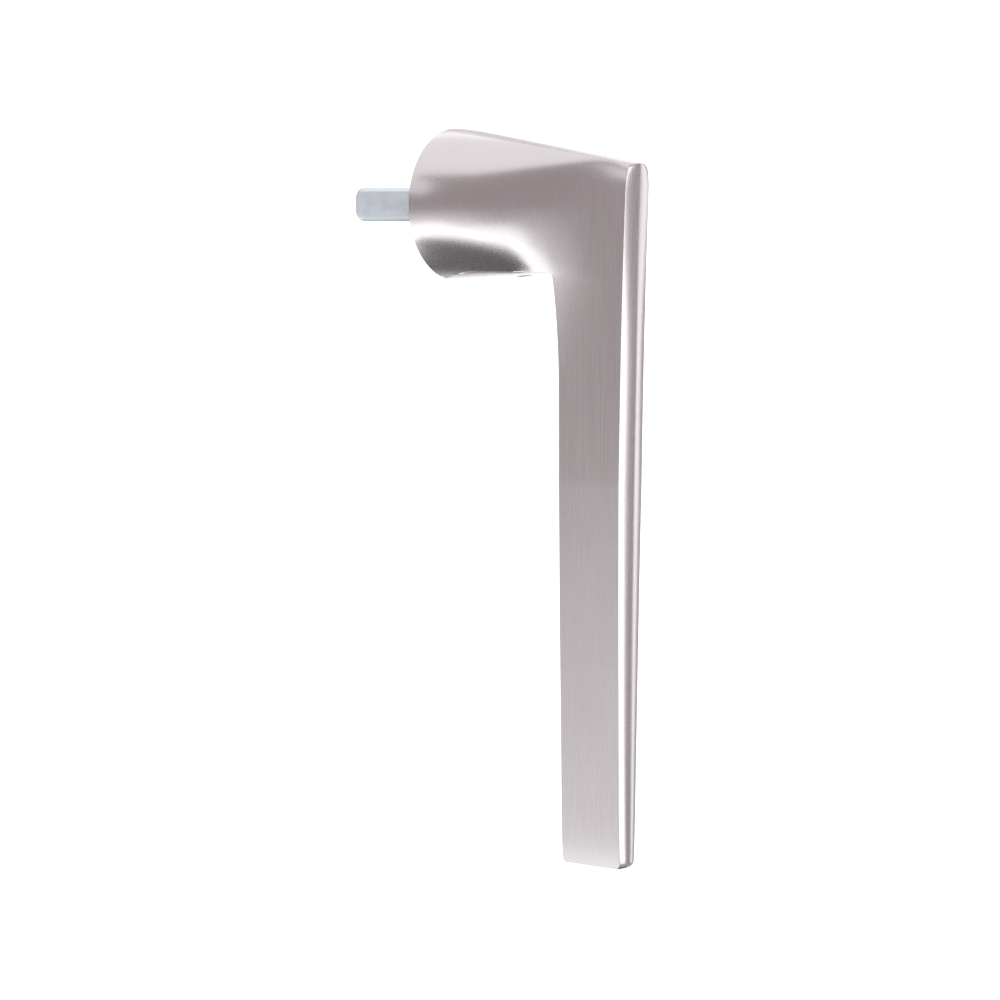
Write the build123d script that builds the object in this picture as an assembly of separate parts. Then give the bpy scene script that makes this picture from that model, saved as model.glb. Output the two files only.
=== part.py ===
from build123d import *
import math
import os

# Tilt turn handle: one cast lever that turns on a mounting base hidden in its neck, with a
# square spindle for the window's gear.  X runs across the handle, +Y into the window sash,
# +Z up.  The origin is the centre of the mounting face, on the spindle's axis.  The lever is
# at rest hanging down, window closed.  Depths are measured from the sash towards the room.

# ---- driving dimensions, mm ----
NECK_R = 15.5             # round rim of the neck
RIM_GAP = 0.3             # the rim turns just clear of the sash
FRONT_DEPTH = 46.0        # from the sash to the top of the grip's front face
CORNER_Z = 8.0            # height of the grip's front top edge
INNER_DEPTH = 27.7        # where the underside of the neck meets the back of the grip
INNER_Z = -14.0
GRIP_END_Z = -132.3       # free end of the grip
BLADE_HALF = 3.9          # half the thickness of the grip
CROWN_R = 15.5            # crown across the narrow faces of the neck and grip
TOP_SLOPE = 0.178         # fall of the neck's top towards the room, per mm
TOP_LEVEL = 4.0           # the fall starts over this depth
FRONT_LEAN = 2.4          # the front face leans back this far towards the free end
LEAN_DROP = 50.0          # most of the lean happens over this height
BACK_STEP = 0.9           # the back of the grip draws in just under the inner corner
BACK_STEP_DROP = 5.0
BACK_SLOPE = 0.0115       # then follows the front, per mm
TOP_FACE_HALF = 5.6       # widest half of the narrow face along the top of the neck
UNDER_FACE_HALF = 7.6     # and of the one underneath
FRONT_HALF = 3.95         # half width of the grip's front face
CORNER_DRAW = 1.35        # the front face draws in by this much at its top edge
TAPER_FROM_Z = -55.0      # the grip thins from here down
TAPER = 0.0165            # by this much a side, per mm
TIP_DRAW = 0.6            # and by this much more at the free end
BACK_THINNER = 0.35       # the back edge is thinner than the front face on each side
BACK_SWELL = 0.8          # but swells into the neck at the inner corner
MIDDLE_SWELL = 1.45       # the broad sides swell between the faces at the elbow
MIDDLE_BULGE = 0.15       # and keep this slight bulge all down the grip

SPINDLE_SIDE = 7.0        # square gear spindle
SPINDLE_OUT = 24.3        # its length past the mounting face
SPINDLE_TIP_R = 2.4       # rounded end corners
SPINDLE_EDGE = 0.8        # broken long edges
SPINDLE_IN = 24.5

PLATE_R = 13.7            # mounting base, screwed to the sash inside the neck
PLATE_T = 3.2
HUB_R = 10.9
HUB_TOP = 11.6            # depth of the hub's front face
HUB_BORE_R = 6.4
FIX_X = 10.4              # fixing screws stand this far each side of the spindle
FIX_HOLE_R = 1.9
FIX_HEAD_R = 3.1
SCALLOP_R = 3.2           # hub cut away over the screw heads

SLEEVE_R = 5.6            # drive sleeve, turning in the hub
SLEEVE_BACK = 0.5
RUN = 0.05                # running clearance on a radius
FLANGE_R = 8.0
RING_BACK = 11.8          # detent ring, turning with the lever
RING_FRONT = 14.6
RING_R = 10.7
FLANGE_FRONT = 15.8
SOCKET_HALF = 5.2         # square end of the drive sleeve
SOCKET_DEPTH = 25.0

BALL_R = 1.5              # detent balls in the hub's front face
BALL_AT = 8.45            # their distance from the axis
POCKET_R = 1.6
POCKET_BACK = 3.9
BALL_DEPTH = 10.15        # centre of a ball that is drawn in
NOTCH_DEPTH = 0.6
NOTCH_R = 1.6
WIRE_R = 0.18
COIL_R = 1.2
COIL_TURNS = 6

CAVITY_R = 11.1           # hollow of the neck around the hub
CAVITY_END = 16.2
MOUTH_R = 13.95           # wider mouth around the base plate
MOUTH_END = 3.7
GRUB_R = 3.0              # M6 grub screw under the neck
GRUB_DEPTH = 20.2
GRUB_LENGTH = 7.2
GRUB_KEY_R = 1.73         # across the corners of its hexagon socket, halved
GRUB_KEY_DEEP = 3.2
SOCKET_CORNER_R = 0.6
SOCKET_ROOM = 0.4         # room past the sleeve's end
FIT = 0.08                # clearance of a seated part
TOUCH = 0.02              # gap between parts that press together

STEP_R = 9.95             # outer step of the detent ring that the stop tooth runs in
LUG_DEG = 45.0            # stop tooth on the hub, angle from +X towards +Z
LUG_SPAN = 12.0
LUG_FRONT = 13.6
STOP_SLACK = 1.0
TURN = 180.0              # closed, open, tilt
DOWEL_DEG = (45.0, 225.0)
DOWEL_AT = 6.75
DOWEL_R = 0.6

PIN_DEPTH = 8.0           # roll pin through sleeve and spindle
PIN_R = 1.0
PIN_LENGTH = 10.8
PIN_WALL = 0.3
PIN_SLOT = 0.3
CIRCLIP_SEAT_R = 8.6      # recess in the back of the base
CIRCLIP_R = 7.6
CIRCLIP_BORE_R = 5.2
CLIP_BACK = 1.1
CLIP_FRONT = 2.0
CLIP_GAP = 2.4
WASHER_R = 8.4
WASHER_FRONT = 2.7
FRONT_BUSH_START = 9.4
BACK_BUSH_END = 6.4

ROUND_SHARE = 0.45        # the neck's sections are round at the rim and blade-like past this share
FAN_SHARE = 0.35          # the grip's sections fan from the diagonal to level over this share
NECK_STATIONS = 9         # sections that each form is lofted through
GRIP_STATIONS = 12
SIDE_POINTS = 9           # points down each broad side of a section


def ease(x):
    """Smooth step from 0 to 1."""
    x = min(max(x, 0.0), 1.0)
    return x * x * (3 - 2 * x)


def disc(radius, start, end, x=0.0, z=0.0):
    """Round solid along the spindle's axis between two depths."""
    middle = -(start + end) / 2
    return Pos(x, middle, z) * Rot(90, 0, 0) * Cylinder(radius, end - start)


def ring(outer, inner, start, end):
    return disc(outer, start, end) - disc(inner, start - 1, end + 1)


def bar(half, start, end, corner=0.0):
    """Square solid along the spindle's axis, with its long edges rounded."""
    profile = RectangleRounded(2 * half, 2 * half, corner) if corner else Rectangle(2 * half, 2 * half)
    return extrude(Plane.XZ.offset(start) * profile, amount=end - start)


# ---- the lever's outer form ----
def neck_width(depth):
    """Half width of the neck at mid height: round at the rim, thin as the blade in front."""
    return BLADE_HALF + (NECK_R - BLADE_HALF) * (1 - ease(depth / FRONT_DEPTH))


def top_line(depth):
    """Height of the neck's top: level at the rim, then sloping down to the front."""
    return NECK_R - TOP_SLOPE * (math.hypot(depth, TOP_LEVEL) - TOP_LEVEL)


def under_line(depth):
    return -NECK_R + (INNER_Z + NECK_R) * depth / INNER_DEPTH


def front_line(z):
    """Depth of the grip's front face, leaning back a little towards its end."""
    return FRONT_DEPTH - FRONT_LEAN * (1 - math.exp((z - CORNER_Z) / LEAN_DROP))


def back_line(z):
    step = BACK_STEP * (1 - math.exp((z - INNER_Z) / BACK_STEP_DROP))
    return INNER_DEPTH + step + BACK_SLOPE * (INNER_Z - z)


def top_half(depth):
    """Half width of the narrow face along the top of the neck."""
    opening = TOP_FACE_HALF * (1 - 0.72 * math.exp(-depth / 4.0))
    return opening - 3.0 * (depth / FRONT_DEPTH) ** 1.2


def under_half(depth):
    opening = UNDER_FACE_HALF * (1 - 0.8 * math.exp(-depth / 4.0))
    return opening - 3.2 * (depth / INNER_DEPTH) ** 2


def front_half(z):
    """Half width of the front face: drawn in at the top corner, tapering to the end."""
    corner = CORNER_DRAW * math.exp((z - CORNER_Z) / 3.2)
    taper = TAPER * max(0.0, TAPER_FROM_Z - z)
    tip = TIP_DRAW * math.exp((GRIP_END_Z - z) / 4.0)
    return FRONT_HALF - corner - taper - tip


def back_half(z):
    return front_half(z) - BACK_THINNER + BACK_SWELL * math.exp((z - INNER_Z) / 10.0)


def station(outer, inner, half_out, half_in, middle_half, roundness):
    """One closed section between an outer and an inner point of the side view.

    The narrow faces are crowned arcs; the two broad sides bulge to middle_half.
    roundness 1 gives the rim's circle, 0 the flat-sided blade.
    """
    span = math.dist(outer, inner)
    drop_out = CROWN_R - math.sqrt(CROWN_R ** 2 - half_out ** 2)
    drop_in = CROWN_R - math.sqrt(CROWN_R ** 2 - half_in ** 2)
    first = drop_out / span
    last = 1 - drop_in / span

    def place(along, across):
        depth = outer[0] + (inner[0] - outer[0]) * along
        height = outer[1] + (inner[1] - outer[1]) * along
        return Vector(across, -depth, height)

    def half_at(share):
        along = first + (last - first) * share
        circle = middle_half * 2 * math.sqrt(along * (1 - along))
        straight = half_out + (half_in - half_out) * share
        bulge = middle_half - (half_out + half_in) / 2
        blade = straight + bulge * 4 * share * (1 - share)
        return along, roundness * circle + (1 - roundness) * blade

    side = []
    for step in range(SIDE_POINTS):
        share = (1 - math.cos(math.pi * step / (SIDE_POINTS - 1))) / 2
        side.append(half_at(share))
    right = [place(along, half) for along, half in side]
    left = [place(along, -half) for along, half in side]
    edges = [
        ThreePointArc(left[0], place(0, 0), right[0]),
        Spline(*right),
        ThreePointArc(right[-1], place(1, 0), left[-1]),
        Spline(*reversed(left)),
    ]
    return Face(Wire(edges))


def neck_station(share):
    depth_out = RIM_GAP + (FRONT_DEPTH - RIM_GAP) * share
    depth_in = RIM_GAP + (INNER_DEPTH - RIM_GAP) * share
    middle = (depth_out + depth_in) / 2
    roundness = 1 - ease(share / ROUND_SHARE)
    middle_half = neck_width(middle - RIM_GAP)
    return station(
        (depth_out, top_line(depth_out)), (depth_in, under_line(depth_in)),
        top_half(depth_out - RIM_GAP), under_half(depth_in - RIM_GAP), middle_half, roundness)


def grip_station(share):
    """Sections fan from the elbow's diagonal to level within the first third of the grip."""
    z_out = CORNER_Z + (GRIP_END_Z - CORNER_Z) * share
    fan = 1 - ease(share / FAN_SHARE)
    z_in = z_out - (CORNER_Z - INNER_Z) * fan
    half_out = front_half(z_out)
    half_in = back_half(z_in)
    swell = MIDDLE_SWELL * fan + MIDDLE_BULGE
    middle_half = (half_out + half_in) / 2 + swell
    return station(
        (front_line(z_out), z_out), (back_line(z_in), z_in), half_out, half_in, middle_half, 0.0)


def lever_form():
    """Outer form: the neck and the grip meet on the elbow's diagonal section."""
    stations = [neck_station(i / (NECK_STATIONS - 1)) for i in range(NECK_STATIONS)]
    neck = loft(stations)
    lower = [grip_station((i / (GRIP_STATIONS - 1)) ** 1.3) for i in range(1, GRIP_STATIONS)]
    grip = loft([stations[-1]] + lower)
    return neck + grip


def lever():
    """Cast lever, hollow in the neck, with a square socket that takes the drive sleeve."""
    body = lever_form()
    body -= disc(MOUTH_R, RIM_GAP - 1, MOUTH_END)
    body -= disc(CAVITY_R, RIM_GAP, CAVITY_END)
    body -= bar(SOCKET_HALF + FIT, CAVITY_END - 1, SOCKET_DEPTH + SOCKET_ROOM, SOCKET_CORNER_R)
    body -= Pos(0, -GRUB_DEPTH, -NECK_R) * Cylinder(GRUB_R + RUN, 2 * (NECK_R - SOCKET_HALF))
    return body


def grub_screw():
    """Set screw with a hexagon socket, pressing on the drive sleeve from below."""
    top = -SOCKET_HALF - TOUCH
    screw = Pos(0, -GRUB_DEPTH, top - GRUB_LENGTH / 2) * Cylinder(GRUB_R, GRUB_LENGTH)
    key = Plane.XY.offset(top - GRUB_LENGTH) * RegularPolygon(GRUB_KEY_R, 6)
    return screw - Pos(0, -GRUB_DEPTH, 0) * extrude(key, amount=GRUB_KEY_DEEP)


# ---- the fixed base in the neck ----
def base_mount():
    """Die-cast plate with a hub; the hub is cut away over the two countersunk fixing holes."""
    body = disc(PLATE_R, 0, PLATE_T) + disc(HUB_R, PLATE_T - 0.5, HUB_TOP)
    body += stop_lug()
    body -= disc(HUB_BORE_R, -1, HUB_TOP + 1)
    body -= disc(CIRCLIP_SEAT_R, -1, WASHER_FRONT)
    for x in (-FIX_X, FIX_X):
        body -= disc(SCALLOP_R, PLATE_T, HUB_TOP + 1, x)
        body -= disc(FIX_HOLE_R, -1, PLATE_T + 1, x)
        sink = Cone(FIX_HOLE_R, FIX_HEAD_R, FIX_HEAD_R - FIX_HOLE_R)
        depth = PLATE_T - (FIX_HEAD_R - FIX_HOLE_R) / 2
        body -= Pos(x, -depth, 0) * Rot(90, 0, 0) * sink
    for z in (-BALL_AT, BALL_AT):
        body -= disc(POCKET_R, POCKET_BACK, HUB_TOP + 1, 0, z)
    return body


def sector(inner, outer, start, end, from_deg, to_deg):
    """Part of a ring between two depths and two angles, counted from +X towards +Z."""
    points = [(0, 0)]
    steps = 8
    for step in range(steps + 1):
        angle = math.radians(from_deg + (to_deg - from_deg) * step / steps)
        points.append((2 * outer * math.cos(angle), 2 * outer * math.sin(angle)))
    outline = make_face(Polyline(*points, close=True))
    wedge = extrude(Plane.XZ.offset(start) * outline, amount=end - start)
    return ring(outer, inner, start, end) & wedge


def stop_lug():
    """Raised tooth on the hub's face that ends the lever's turn each way."""
    half = LUG_SPAN / 2
    return sector(STEP_R + 0.15, HUB_R, HUB_TOP - 0.5, LUG_FRONT, LUG_DEG - half, LUG_DEG + half)


def detent_ring():
    """Steel ring with four notches a quarter turn apart and a half-turn step for the stop."""
    body = ring(RING_R, SLEEVE_R + FIT, RING_BACK, RING_FRONT)
    low = LUG_DEG - LUG_SPAN / 2 - STOP_SLACK
    high = low + TURN + LUG_SPAN + 2 * STOP_SLACK
    body -= sector(STEP_R, RING_R + 1, RING_BACK - 1, RING_FRONT + 1, low, high)
    for quarter in range(4):
        angle = math.radians(90 * quarter)
        x = BALL_AT * math.cos(angle)
        z = BALL_AT * math.sin(angle)
        body -= Pos(x, -(RING_BACK + NOTCH_DEPTH - NOTCH_R), z) * Sphere(NOTCH_R)
    for angle in DOWEL_DEG:
        body -= dowel(angle, DOWEL_R + TOUCH)
    return body


# ---- turning parts on the spindle ----
def dowel(angle, radius):
    x = DOWEL_AT * math.cos(math.radians(angle))
    z = DOWEL_AT * math.sin(math.radians(angle))
    return disc(radius, RING_BACK + 0.2, FLANGE_FRONT, x, z)


def drive_sleeve():
    """Steel sleeve in the hub, with a flange for the detent ring and a square front end."""
    body = disc(SLEEVE_R, SLEEVE_BACK, RING_FRONT) + disc(FLANGE_R, RING_FRONT, FLANGE_FRONT)
    body += bar(SOCKET_HALF, FLANGE_FRONT - 0.2, SOCKET_DEPTH, 0.5)
    body -= ring(SLEEVE_R + 1, CIRCLIP_BORE_R, CLIP_BACK - RUN, CLIP_FRONT + RUN)
    body -= bar(SPINDLE_SIDE / 2 + FIT, SLEEVE_BACK - 1, SPINDLE_IN + FIT)
    body -= Pos(0, -PIN_DEPTH, 0) * Rot(0, 90, 0) * Cylinder(PIN_R + TOUCH, 3 * SLEEVE_R)
    for angle in DOWEL_DEG:
        body -= dowel(angle, DOWEL_R + TOUCH)
    return body


def spindle():
    """Square bar: long edges broken, end corners rounded in the upright plane."""
    half = SPINDLE_SIDE / 2
    with BuildSketch(Plane.YZ) as side:
        with Locations(((SPINDLE_OUT - SPINDLE_IN) / 2, 0)):
            Rectangle(SPINDLE_OUT + SPINDLE_IN, SPINDLE_SIDE)
        tip = side.vertices().group_by(Axis.X)[-1]
        fillet(tip, SPINDLE_TIP_R)
    body = extrude(side.sketch, amount=half, both=True)
    long_edges = [e for e in body.edges().filter_by(Axis.Y) if e.length > SPINDLE_OUT]
    body = chamfer(long_edges, SPINDLE_EDGE)
    return body - Pos(0, -PIN_DEPTH, 0) * Rot(0, 90, 0) * Cylinder(PIN_R + TOUCH, 2 * SPINDLE_SIDE)


def roll_pin():
    """Slotted spring pin across the sleeve and the spindle, captive in the hub."""
    pin = Cylinder(PIN_R, PIN_LENGTH) - Cylinder(PIN_R - PIN_WALL, PIN_LENGTH + 1)
    pin -= Pos(0, PIN_R, 0) * Box(PIN_SLOT, PIN_R, PIN_LENGTH + 1)
    return Pos(0, -PIN_DEPTH, 0) * Rot(0, 90, 0) * pin


def retaining_ring():
    """Spring clip in the sleeve's groove, open at the bottom."""
    clip = ring(CIRCLIP_R, CIRCLIP_BORE_R + TOUCH, CLIP_BACK, CLIP_FRONT)
    gap = Box(CLIP_GAP, 2, CIRCLIP_R)
    return clip - Pos(0, -(CLIP_BACK + CLIP_FRONT) / 2, -CIRCLIP_R) * gap


def bush(start, end):
    """Plain plastic bearing bush between the sleeve and the hub's bore."""
    return ring(HUB_BORE_R - TOUCH, SLEEVE_R + RUN, start, end)


# ---- detent balls and springs in the hub ----
def ball(z):
    return Pos(0, -BALL_DEPTH, z) * Sphere(BALL_R)


def spring(z):
    """Coil spring between the pocket's floor and the ball."""
    length = BALL_DEPTH - BALL_R - POCKET_BACK - 2 * (WIRE_R + RUN)
    start = -(POCKET_BACK + WIRE_R + RUN)
    path = Helix(length / COIL_TURNS, length, COIL_R)
    wire = Plane(origin=path @ 0, z_dir=path % 0) * Circle(WIRE_R)
    return Pos(0, start, z) * Rot(90, 0, 0) * sweep(wire, path=path, is_frenet=True)


BUILD = {
    "lever_body": lever(),
    "grub_screw": grub_screw(),
    "base_mount": base_mount(),
    "detent_ring": detent_ring(),
    "ring_dowels": Compound([Solid(dowel(angle, DOWEL_R).wrapped) for angle in DOWEL_DEG]),
    "drive_sleeve": drive_sleeve(),
    "spindle": spindle(),
    "roll_pin": roll_pin(),
    "retaining_ring": retaining_ring(),
    "thrust_washer": ring(WASHER_R, SLEEVE_R + RUN, CLIP_FRONT + RUN, WASHER_FRONT - TOUCH),
    "front_bush": bush(FRONT_BUSH_START, HUB_TOP + 0.1),
    "back_bush": bush(WASHER_FRONT + TOUCH, BACK_BUSH_END),
    "glide_ring": ring(MOUTH_R - 0.15, CAVITY_R + 0.2, PLATE_T + RUN, MOUTH_END - RUN),
    "detent_ball_upper": ball(BALL_AT),
    "detent_ball_lower": ball(-BALL_AT),
    "detent_spring_upper": spring(BALL_AT),
    "detent_spring_lower": spring(-BALL_AT),
}

os.makedirs("parts", exist_ok=True)
for name, piece in BUILD.items():
    export_step(piece, "parts/" + name + ".step")
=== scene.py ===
import math

import bmesh
import bpy
from mathutils import Matrix, Vector


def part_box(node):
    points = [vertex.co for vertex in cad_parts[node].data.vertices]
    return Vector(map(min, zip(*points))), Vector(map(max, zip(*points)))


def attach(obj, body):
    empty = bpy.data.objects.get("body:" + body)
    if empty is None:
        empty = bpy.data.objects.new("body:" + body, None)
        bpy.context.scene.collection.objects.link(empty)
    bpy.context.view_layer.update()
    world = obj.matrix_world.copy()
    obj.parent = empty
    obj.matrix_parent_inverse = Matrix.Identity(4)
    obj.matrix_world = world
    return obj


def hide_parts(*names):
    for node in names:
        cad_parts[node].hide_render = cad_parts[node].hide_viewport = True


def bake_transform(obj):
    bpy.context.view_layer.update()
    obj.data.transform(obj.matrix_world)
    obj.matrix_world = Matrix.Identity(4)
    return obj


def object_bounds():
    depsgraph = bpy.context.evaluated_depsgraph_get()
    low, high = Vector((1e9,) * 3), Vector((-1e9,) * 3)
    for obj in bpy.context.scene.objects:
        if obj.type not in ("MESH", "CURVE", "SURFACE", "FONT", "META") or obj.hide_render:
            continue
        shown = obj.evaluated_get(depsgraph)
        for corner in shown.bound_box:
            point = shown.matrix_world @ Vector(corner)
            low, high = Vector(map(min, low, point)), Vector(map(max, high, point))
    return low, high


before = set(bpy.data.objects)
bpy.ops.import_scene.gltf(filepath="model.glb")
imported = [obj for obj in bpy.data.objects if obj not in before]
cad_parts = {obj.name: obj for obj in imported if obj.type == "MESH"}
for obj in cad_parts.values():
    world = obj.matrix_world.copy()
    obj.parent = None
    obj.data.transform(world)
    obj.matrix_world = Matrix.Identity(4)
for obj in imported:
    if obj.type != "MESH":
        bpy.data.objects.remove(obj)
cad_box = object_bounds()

# ---------------------------------------------------------------------------
# Lever: one zinc casting, a round hollow neck that flattens into a slim hanging
# grip.  It is linished along the grip, then plated satin nickel.  It turns on
# the base inside its neck and carries the spindle.
# ---------------------------------------------------------------------------
MM = 0.001
lever_low, lever_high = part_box("lever_body")
NECK_R = lever_high.x / MM            # round rim of the neck
RIM_DEPTH = -lever_high.y / MM        # depths run from the sash towards the room
FRONT_DEPTH = -lever_low.y / MM
GRIP_END_Z = lever_low.z / MM
CORNER_Z = 8.0                        # front top edge of the grip
INNER_DEPTH = 28.2                    # inner corner under the neck
INNER_Z = -14.0
BLADE_HALF = 3.95                     # half the grip's thickness
TOP_SLOPE = 0.178                     # the neck's top falls this much for each mm towards the room
TOP_START = 4.0                       # and starts level at the rim, over about this depth
FRONT_LEAN = 2.4                      # the front leans back by this much towards its end
FRONT_FADE = 50.0                     # most of it within this height
BACK_STEP = 0.55                      # the back edge steps out by this much below the inner corner
BACK_FADE = 5.0
BACK_LEAN = 0.0045                    # and then leans out this much for each mm down
TOP_HALF = 3.6                        # half width of the narrow top face at the rim
TOP_SWELL = 1.6                       # it widens by this much just behind the rim
TOP_TAPER = 2.5                       # and narrows by this much to the front edge
UNDER_SHARES = (0.22, 0.33, 0.74)     # the face underneath: at the rim, gained behind it, before the elbow
TIP_THIN = 0.25                       # the grip thins by this much at its very end
CROWN_R = 15.5                        # crown across the top and the underside of the neck
RIDGE = 0.32                          # the front face falls from its middle ridge by this much
SHOULDER = 0.55                       # and rounds away by this much more towards its edges
END_CROWN = 0.65                      # the ridge softens to this crown at the free end
EDGE_R = 0.2                          # softening of the cast edges
CORNER_R = 0.9                        # rounding of the front top edge
INNER_R = 1.2                         # rounding of the inner corner
END_CORNER_R = 1.3                    # rounding of the two bottom corners
FLATTEN_DEPTH = 44.0                  # the neck has thinned to the blade by this depth
SWELL_DROP = 8.0                      # the neck's swell fades down the grip over this height
MOUTH_R = 13.95                       # hollow of the neck, as cast
MOUTH_DEPTH = 3.7
CAVITY_R = 11.1
CAVITY_DEPTH = 16.2
SOCKET_HALF = 5.28
SOCKET_DEPTH = 25.4
SOCKET_CORNER = 1.32                  # a corner of the socket reaches this share of its half width
BAND_POINTS = 17                      # points across a narrow face
SIDE_POINTS = 48                      # points down a broad side


def ease(x):
    """A smooth step from 0 to 1 as x goes from 0 to 1."""
    x = min(max(x, 0.0), 1.0)
    return x * x * (3 - 2 * x)


def mix(a, b, share):
    return a + (b - a) * share


def top_line(depth):
    """Height of the neck's top edge in the side view."""
    return NECK_R - TOP_SLOPE * (math.hypot(depth, TOP_START) - TOP_START)


def under_line(depth):
    """Height of the neck's underside in the side view."""
    return -NECK_R + (INNER_Z + NECK_R) * depth / INNER_DEPTH


def end_round(z):
    """How far the rounded bottom corners draw in at a height."""
    below = min(max(END_CORNER_R - (z - GRIP_END_Z), 0.0), END_CORNER_R)
    return END_CORNER_R - math.sqrt(END_CORNER_R ** 2 - below ** 2)


def front_line(z):
    """Depth of the grip's front edge at a height."""
    return FRONT_DEPTH - FRONT_LEAN * (1 - math.exp((z - CORNER_Z) / FRONT_FADE)) - end_round(z)


def back_line(z):
    """Depth of the grip's back edge at a height."""
    step = BACK_STEP * (1 - math.exp((z - INNER_Z) / BACK_FADE))
    return INNER_DEPTH + step + BACK_LEAN * (INNER_Z - z) + end_round(z)


def top_half(depth):
    """Half width of the narrow face along the top of the neck."""
    return TOP_HALF + TOP_SWELL * (1 - math.exp(-depth / 6.0)) - TOP_TAPER * (depth / FRONT_DEPTH) ** 1.5


def under_share(depth):
    """Width of the face under the neck, as a share of the neck's greatest width there."""
    at_rim, gained, before_elbow = UNDER_SHARES
    near = at_rim + gained * (1 - math.exp(-depth / 7.0))
    far = mix(near, before_elbow, ease((depth - 19.0) / 12.0))
    return far + (1 - before_elbow) * ease((depth - 26.0) / 18.0)


def wide_half(depth):
    """Greatest half width of the lever at a depth: the neck's radius thinning to the blade."""
    return BLADE_HALF + (NECK_R - BLADE_HALF) * (1 - ease((depth - RIM_DEPTH) / FLATTEN_DEPTH))


def crown(half):
    """How far a face crowned across its width has fallen at this distance from its middle."""
    return CROWN_R - math.sqrt(CROWN_R ** 2 - half ** 2)


def top_crown(half, depth):
    """The crown across the top flattens out towards the front edge."""
    return crown(half) * mix(1.0, 0.3, ease(depth / FRONT_DEPTH))


def thinning(depth, z):
    """How much thinner than its full thickness the grip is, towards its end and its back edge."""
    taper = 0.0165 * max(0.0, -55.0 - z)
    tip = TIP_THIN * math.exp((GRIP_END_Z - z) / 4.0)
    behind = 0.012 * (front_line(z) - depth)
    edge_in = max(0.0, 5.5 - (depth - back_line(z)))
    eased = 0.4 * (edge_in / 5.5) ** 2 * (1 - ease((-z - 30.0) / 60.0))
    return taper + tip + behind + eased


def half_width(depth, z):
    """Half width of the lever at any point of its side view."""
    wide = wide_half(depth)
    if z >= 0:
        edge = top_half(depth)
        reach = min(z / (top_line(depth) - top_crown(edge, depth)), 1.0)
        power = 2.0 + 1.6 * ease((depth - 12.0) / 34.0)
        return wide * math.sqrt(1 - (1 - (edge / wide) ** 2) * reach ** power)
    share = under_share(depth)
    low = under_line(min(depth, INNER_DEPTH))
    floor_z = low + crown(wide * share) * (1 - ease((depth - 20.0) / 9.0))
    reach = min(z / floor_z, 1.0)
    power = 2.0 - 0.6 * ease((depth - 14.0) / 14.0)
    swell = wide * math.sqrt(1 - (1 - share ** 2) * reach ** power) - BLADE_HALF
    if z < low:
        swell *= math.exp((z - low) / SWELL_DROP)
    return BLADE_HALF + swell - thinning(depth, z) * ease((-z - 11.0) / 24.0) * ease((depth - 21.0) / 8.0)


def soften(points, corner, radius):
    """Replaces one sharp corner of a closed outline with a short round of five points."""
    before, here, after = points[corner - 1], points[corner], points[(corner + 1) % len(points)]
    start = here.lerp(before, min(0.9, radius / max((before - here).length, 1e-6)))
    end = here.lerp(after, min(0.9, radius / max((after - here).length, 1e-6)))
    return [start.lerp(here, t).lerp(here.lerp(end, t), t) for t in (0.0, 0.25, 0.5, 0.75, 1.0)]


def section(outer, inner, front_share, end_share):
    """One closed ring of the lever between an outer and an inner point of its side view.

    front_share turns the crowned top face into the ridged front face, end_share softens the ridge.
    """
    span = math.dist(outer, inner)

    def at(along):
        return mix(outer[0], inner[0], along), mix(outer[1], inner[1], along)

    def place(along, across):
        depth, z = at(along)
        return Vector((across, -depth, z)) * MM

    half_out = half_width(*outer)
    half_in = half_width(*inner)
    first = top_crown(half_out, outer[0]) * (1 - front_share) / span
    last = 1 - crown(half_in) * 0.85 / span

    def band(half, end):
        row = []
        for step in range(1, BAND_POINTS - 1):
            share = 2 * step / (BAND_POINTS - 1) - 1
            across = half * share
            if end == 0:
                sharp = RIDGE * (1 - abs(share)) + SHOULDER * (1 - abs(share) ** 2.2)
                peak = mix(sharp, END_CROWN * (1 - share ** 2), end_share)
                sink = mix(top_crown(across, outer[0]), -peak, front_share)
                row.append(place(sink / span, across))
            else:
                row.append(place(1 - crown(across) * 0.85 / span, -across))
        return row

    side = []
    for step in range(SIDE_POINTS):
        along = mix(first, last, (1 - math.cos(math.pi * step / (SIDE_POINTS - 1))) / 2)
        side.append((along, half_width(*at(along))))
    left = [place(along, -half) for along, half in side]
    right = [place(along, half) for along, half in side]
    ring = band(half_out, 0) + right + band(half_in, 1) + left[::-1]
    corners = {BAND_POINTS - 2, BAND_POINTS - 3 + SIDE_POINTS,
               2 * BAND_POINTS - 4 + SIDE_POINTS, len(ring) - 1}
    softened = []
    for index, point in enumerate(ring):
        softened += soften(ring, index, EDGE_R * MM) if index in corners else [point]
    return softened


def corner_point(first, corner, last, share):
    """A point on the rounding of a corner of the side view."""
    one = mix(first[0], corner[0], share), mix(first[1], corner[1], share)
    two = mix(corner[0], last[0], share), mix(corner[1], last[1], share)
    return mix(one[0], two[0], share), mix(one[1], two[1], share)


def neck_section(share):
    """From the rim (0) to the elbow's diagonal (1)."""
    depth_out = mix(RIM_DEPTH, FRONT_DEPTH - CORNER_R, share)
    depth_in = mix(RIM_DEPTH, INNER_DEPTH - INNER_R, share)
    return section((depth_out, top_line(depth_out)), (depth_in, under_line(depth_in)), 0.0, 0.0)


def elbow_section(share):
    """Round the front top edge and the inner corner together."""
    outer = corner_point(
        (FRONT_DEPTH - CORNER_R, top_line(FRONT_DEPTH - CORNER_R)), (FRONT_DEPTH, CORNER_Z),
        (front_line(CORNER_Z - CORNER_R), CORNER_Z - CORNER_R), share)
    inner = corner_point(
        (INNER_DEPTH - INNER_R, under_line(INNER_DEPTH - INNER_R)), (INNER_DEPTH, INNER_Z),
        (back_line(INNER_Z - INNER_R), INNER_Z - INNER_R), share)
    return section(outer, inner, ease(share), 0.0)


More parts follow.
